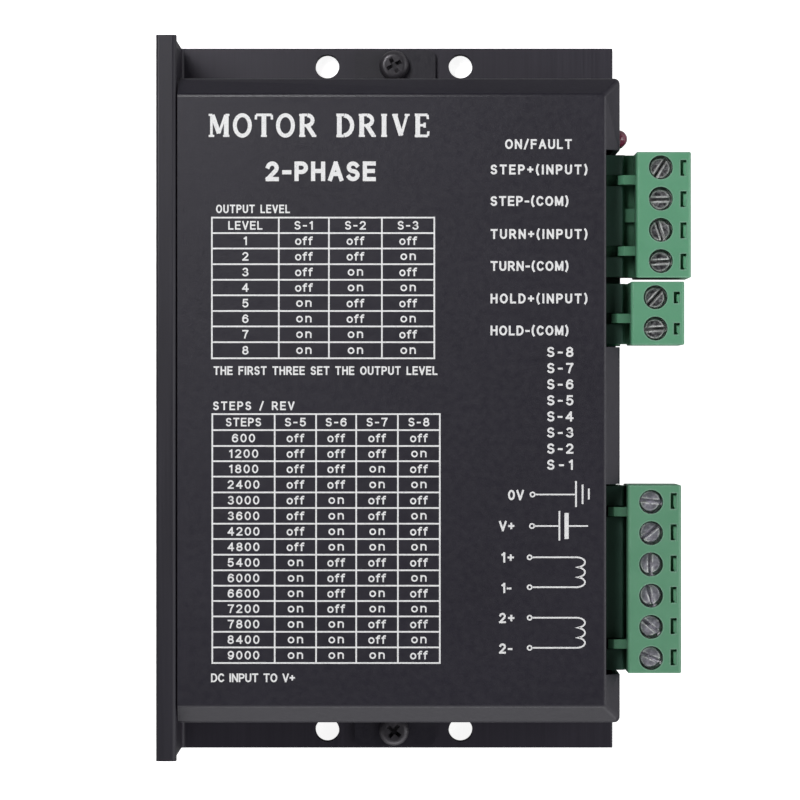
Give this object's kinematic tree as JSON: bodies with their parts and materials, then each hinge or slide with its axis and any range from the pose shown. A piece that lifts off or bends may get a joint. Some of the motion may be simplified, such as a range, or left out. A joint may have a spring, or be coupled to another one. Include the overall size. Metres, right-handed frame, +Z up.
{
  "type": "stepper driver module",
  "caption": "Flat stepper motor driver: L-shaped black heatsink, chamfered black cover, pluggable green screw terminals, mode switches and status lamps along one side.",
  "frame": {"origin": "centre of the four mounting holes, on the underside of the base", "axes": "+X towards the terminal side, +Y towards the status-lamp end, +Z up out of the printed face"},
  "size_m": [0.0869, 0.118, 0.034],
  "materials": {
    "anodised_black": "matte black anodised aluminium",
    "cover_black": "satin black painted sheet",
    "black_steel": "black oxide steel",
    "board_green": "solder mask",
    "plated_brass": "plain",
    "zinc_steel": "zinc plated",
    "terminal_green": "moulded",
    "tinned_copper": "tinned",
    "switch_blue": "moulded",
    "lamp_green": "clear tinted resin",
    "lamp_red": "clear tinted resin",
    "capacitor_sleeve": "sleeved can",
    "moulding_black": "moulded epoxy",
    "pad_grey": "silicone sheet",
    "moulding_white": "moulded",
    "resistor_grey": "coated ceramic",
    "ferrite": "ferrite",
    "slider_white": "moulded",
    "screw_steel": "nickel plated",
    "clamp_brass": "nickel plated"
  },
  "bodies": {
    "module": {"heatsink": "anodised_black", "cover": "cover_black", "cover_screws": "black_steel", "circuit_board": "board_green", "board_standoffs": "plated_brass", "board_screws": "zinc_steel", "header_4way": "terminal_green", "header_2way": "terminal_green", "header_6way": "terminal_green", "header_pins": "tinned_copper", "dip_body": "switch_blue", "led_power": "lamp_green", "led_alarm": "lamp_red", "capacitors": "capacitor_sleeve", "power_transistors": "moulding_black", "thermal_pad": "pad_grey", "transistor_screws": "zinc_steel", "microcontroller": "moulding_black", "gate_drivers": "moulding_black", "optocouplers": "moulding_white", "sense_resistors": "resistor_grey", "inductor": "ferrite"},
    "dip_slider_1": {"dip_slider_1": "slider_white"},
    "dip_slider_2": {"dip_slider_2": "slider_white"},
    "dip_slider_3": {"dip_slider_3": "slider_white"},
    "dip_slider_4": {"dip_slider_4": "slider_white"},
    "dip_slider_5": {"dip_slider_5": "slider_white"},
    "dip_slider_6": {"dip_slider_6": "slider_white"},
    "dip_slider_7": {"dip_slider_7": "slider_white"},
    "dip_slider_8": {"dip_slider_8": "slider_white"},
    "plug_4way": {"plug_4way": "terminal_green", "contacts_4way": "tinned_copper"},
    "screw_4way_1": {"screw_4way_1": "screw_steel"},
    "clamp_4way_1": {"clamp_4way_1": "clamp_brass"},
    "screw_4way_2": {"screw_4way_2": "screw_steel"},
    "clamp_4way_2": {"clamp_4way_2": "clamp_brass"},
    "screw_4way_3": {"screw_4way_3": "screw_steel"},
    "clamp_4way_3": {"clamp_4way_3": "clamp_brass"},
    "screw_4way_4": {"screw_4way_4": "screw_steel"},
    "clamp_4way_4": {"clamp_4way_4": "clamp_brass"},
    "plug_2way": {"plug_2way": "terminal_green", "contacts_2way": "tinned_copper"},
    "screw_2way_1": {"screw_2way_1": "screw_steel"},
    "clamp_2way_1": {"clamp_2way_1": "clamp_brass"},
    "screw_2way_2": {"screw_2way_2": "screw_steel"},
    "clamp_2way_2": {"clamp_2way_2": "clamp_brass"},
    "plug_6way": {"plug_6way": "terminal_green", "contacts_6way": "tinned_copper"},
    "screw_6way_1": {"screw_6way_1": "screw_steel"},
    "clamp_6way_1": {"clamp_6way_1": "clamp_brass"},
    "screw_6way_2": {"screw_6way_2": "screw_steel"},
    "clamp_6way_2": {"clamp_6way_2": "clamp_brass"},
    "screw_6way_3": {"screw_6way_3": "screw_steel"},
    "clamp_6way_3": {"clamp_6way_3": "clamp_brass"},
    "screw_6way_4": {"screw_6way_4": "screw_steel"},
    "clamp_6way_4": {"clamp_6way_4": "clamp_brass"},
    "screw_6way_5": {"screw_6way_5": "screw_steel"},
    "clamp_6way_5": {"clamp_6way_5": "clamp_brass"},
    "screw_6way_6": {"screw_6way_6": "screw_steel"},
    "clamp_6way_6": {"clamp_6way_6": "clamp_brass"}
  },
  "joints": [
    {"name": "dip_1_slide", "type": "slide", "parent": "module", "child": "dip_slider_1", "axis": [0, 0, 1], "range_m": [0, 0.0018]},
    {"name": "dip_2_slide", "type": "slide", "parent": "module", "child": "dip_slider_2", "axis": [0, 0, 1], "range_m": [0, 0.0018]},
    {"name": "dip_3_slide", "type": "slide", "parent": "module", "child": "dip_slider_3", "axis": [0, 0, 1], "range_m": [0, 0.0018]},
    {"name": "dip_4_slide", "type": "slide", "parent": "module", "child": "dip_slider_4", "axis": [0, 0, 1], "range_m": [0, 0.0018]},
    {"name": "dip_5_slide", "type": "slide", "parent": "module", "child": "dip_slider_5", "axis": [0, 0, 1], "range_m": [0, 0.0018]},
    {"name": "dip_6_slide", "type": "slide", "parent": "module", "child": "dip_slider_6", "axis": [0, 0, 1], "range_m": [0, 0.0018]},
    {"name": "dip_7_slide", "type": "slide", "parent": "module", "child": "dip_slider_7", "axis": [0, 0, 1], "range_m": [0, 0.0018]},
    {"name": "dip_8_slide", "type": "slide", "parent": "module", "child": "dip_slider_8", "axis": [0, 0, 1], "range_m": [0, 0.0018]},
    {"name": "plug_4way_slide", "type": "slide", "parent": "module", "child": "plug_4way", "axis": [1, 0, 0], "range_m": [-0.0017, 0.01]},
    {"name": "clamp_4way_1_rise", "type": "slide", "parent": "plug_4way", "child": "clamp_4way_1", "axis": [0, 0, 1], "range_m": [0, 0.002]},
    {"name": "screw_4way_1_turn", "type": "hinge", "parent": "plug_4way", "child": "screw_4way_1", "pos_m": [0.04335, 0.03742, 0.0306], "axis": [0, 0, 1], "range_deg": [-1440.5, 0.5]},
    {"name": "clamp_4way_2_rise", "type": "slide", "parent": "plug_4way", "child": "clamp_4way_2", "axis": [0, 0, 1], "range_m": [0, 0.002]},
    {"name": "screw_4way_2_turn", "type": "hinge", "parent": "plug_4way", "child": "screw_4way_2", "pos_m": [0.04335, 0.03234, 0.0306], "axis": [0, 0, 1], "range_deg": [-1440.5, 0.5]},
    {"name": "clamp_4way_3_rise", "type": "slide", "parent": "plug_4way", "child": "clamp_4way_3", "axis": [0, 0, 1], "range_m": [0, 0.002]},
    {"name": "screw_4way_3_turn", "type": "hinge", "parent": "plug_4way", "child": "screw_4way_3", "pos_m": [0.04335, 0.02726, 0.0306], "axis": [0, 0, 1], "range_deg": [-1440.5, 0.5]},
    {"name": "clamp_4way_4_rise", "type": "slide", "parent": "plug_4way", "child": "clamp_4way_4", "axis": [0, 0, 1], "range_m": [0, 0.002]},
    {"name": "screw_4way_4_turn", "type": "hinge", "parent": "plug_4way", "child": "screw_4way_4", "pos_m": [0.04335, 0.02218, 0.0306], "axis": [0, 0, 1], "range_deg": [-1440.5, 0.5]},
    {"name": "plug_2way_slide", "type": "slide", "parent": "module", "child": "plug_2way", "axis": [1, 0, 0], "range_m": [-0.00075, 0.01]},
    {"name": "clamp_2way_1_rise", "type": "slide", "parent": "plug_2way", "child": "clamp_2way_1", "axis": [0, 0, 1], "range_m": [0, 0.002]},
    {"name": "screw_2way_1_turn", "type": "hinge", "parent": "plug_2way", "child": "screw_2way_1", "pos_m": [0.04247, 0.01634, 0.0306], "axis": [0, 0, 1], "range_deg": [-1440.5, 0.5]},
    {"name": "clamp_2way_2_rise", "type": "slide", "parent": "plug_2way", "child": "clamp_2way_2", "axis": [0, 0, 1], "range_m": [0, 0.002]},
    {"name": "screw_2way_2_turn", "type": "hinge", "parent": "plug_2way", "child": "screw_2way_2", "pos_m": [0.04247, 0.01126, 0.0306], "axis": [0, 0, 1], "range_deg": [-1440.5, 0.5]},
    {"name": "plug_6way_slide", "type": "slide", "parent": "module", "child": "plug_6way", "axis": [1, 0, 0], "range_m": [-0.00035, 0.01]},
    {"name": "clamp_6way_1_rise", "type": "slide", "parent": "plug_6way", "child": "clamp_6way_1", "axis": [0, 0, 1], "range_m": [0, 0.002]},
    {"name": "screw_6way_1_turn", "type": "hinge", "parent": "plug_6way", "child": "screw_6way_1", "pos_m": [0.04175, -0.01675, 0.0306], "axis": [0, 0, 1], "range_deg": [-1440.5, 0.5]},
    {"name": "clamp_6way_2_rise", "type": "slide", "parent": "plug_6way", "child": "clamp_6way_2", "axis": [0, 0, 1], "range_m": [0, 0.002]},
    {"name": "screw_6way_2_turn", "type": "hinge", "parent": "plug_6way", "child": "screw_6way_2", "pos_m": [0.04175, -0.02183, 0.0306], "axis": [0, 0, 1], "range_deg": [-1440.5, 0.5]},
    {"name": "clamp_6way_3_rise", "type": "slide", "parent": "plug_6way", "child": "clamp_6way_3", "axis": [0, 0, 1], "range_m": [0, 0.002]},
    {"name": "screw_6way_3_turn", "type": "hinge", "parent": "plug_6way", "child": "screw_6way_3", "pos_m": [0.04175, -0.02691, 0.0306], "axis": [0, 0, 1], "range_deg": [-1440.5, 0.5]},
    {"name": "clamp_6way_4_rise", "type": "slide", "parent": "plug_6way", "child": "clamp_6way_4", "axis": [0, 0, 1], "range_m": [0, 0.002]},
    {"name": "screw_6way_4_turn", "type": "hinge", "parent": "plug_6way", "child": "screw_6way_4", "pos_m": [0.04175, -0.03199, 0.0306], "axis": [0, 0, 1], "range_deg": [-1440.5, 0.5]},
    {"name": "clamp_6way_5_rise", "type": "slide", "parent": "plug_6way", "child": "clamp_6way_5", "axis": [0, 0, 1], "range_m": [0, 0.002]},
    {"name": "screw_6way_5_turn", "type": "hinge", "parent": "plug_6way", "child": "screw_6way_5", "pos_m": [0.04175, -0.03707, 0.0306], "axis": [0, 0, 1], "range_deg": [-1440.5, 0.5]},
    {"name": "clamp_6way_6_rise", "type": "slide", "parent": "plug_6way", "child": "clamp_6way_6", "axis": [0, 0, 1], "range_m": [0, 0.002]},
    {"name": "screw_6way_6_turn", "type": "hinge", "parent": "plug_6way", "child": "screw_6way_6", "pos_m": [0.04175, -0.04215, 0.0306], "axis": [0, 0, 1], "range_deg": [-1440.5, 0.5]}
  ],
  "couplings": [
    {"joint": "screw_4way_1_turn", "follows": "clamp_4way_1_rise", "rad_per_m": -12566},
    {"joint": "screw_4way_2_turn", "follows": "clamp_4way_2_rise", "rad_per_m": -12566},
    {"joint": "screw_4way_3_turn", "follows": "clamp_4way_3_rise", "rad_per_m": -12566},
    {"joint": "screw_4way_4_turn", "follows": "clamp_4way_4_rise", "rad_per_m": -12566},
    {"joint": "screw_2way_1_turn", "follows": "clamp_2way_1_rise", "rad_per_m": -12566},
    {"joint": "screw_2way_2_turn", "follows": "clamp_2way_2_rise", "rad_per_m": -12566},
    {"joint": "screw_6way_1_turn", "follows": "clamp_6way_1_rise", "rad_per_m": -12566},
    {"joint": "screw_6way_2_turn", "follows": "clamp_6way_2_rise", "rad_per_m": -12566},
    {"joint": "screw_6way_3_turn", "follows": "clamp_6way_3_rise", "rad_per_m": -12566},
    {"joint": "screw_6way_4_turn", "follows": "clamp_6way_4_rise", "rad_per_m": -12566},
    {"joint": "screw_6way_5_turn", "follows": "clamp_6way_5_rise", "rad_per_m": -12566},
    {"joint": "screw_6way_6_turn", "follows": "clamp_6way_6_rise", "rad_per_m": -12566}
  ]
}
